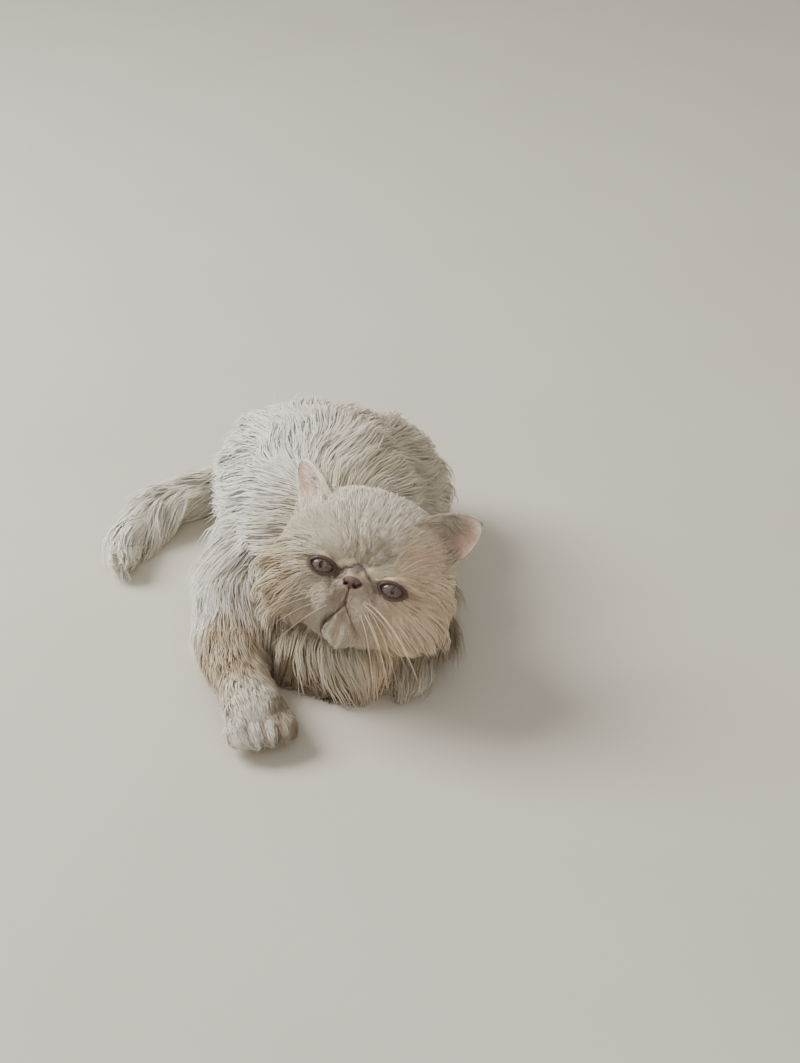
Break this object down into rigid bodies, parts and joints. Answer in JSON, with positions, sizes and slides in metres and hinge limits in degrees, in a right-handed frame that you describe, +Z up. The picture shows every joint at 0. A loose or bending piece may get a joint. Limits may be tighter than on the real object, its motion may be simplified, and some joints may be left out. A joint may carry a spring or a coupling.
{
  "type": "persian cat model",
  "caption": "Life-size long-haired flat-faced cat lying on its chest, head tilted and looking up, one foreleg stretched forward, tail curled along its side.",
  "frame": {"origin": "on the floor plane, under the middle of the box round the cat", "axes": "+Z up, the cat faces -Y with its rump towards +Y, and its left side is towards +X"},
  "size_m": [0.2672, 0.3492, 0.1472],
  "materials": {
    "coat": "long soft fur",
    "ear": "thin pink skin",
    "eye": "wet clear gloss"
  },
  "bodies": {
    "root": {"head": "coat", "torso": "coat", "neck": "coat", "front_leg_right": "coat", "front_leg_left": "coat", "hind_leg_right": "coat", "hind_leg_left": "coat", "tail_base": "coat", "tail_middle": "coat", "tail_tip": "coat", "ear_right": "ear", "ear_left": "ear", "eye_right": "eye", "eye_left": "eye"}
  },
  "joints": []
}
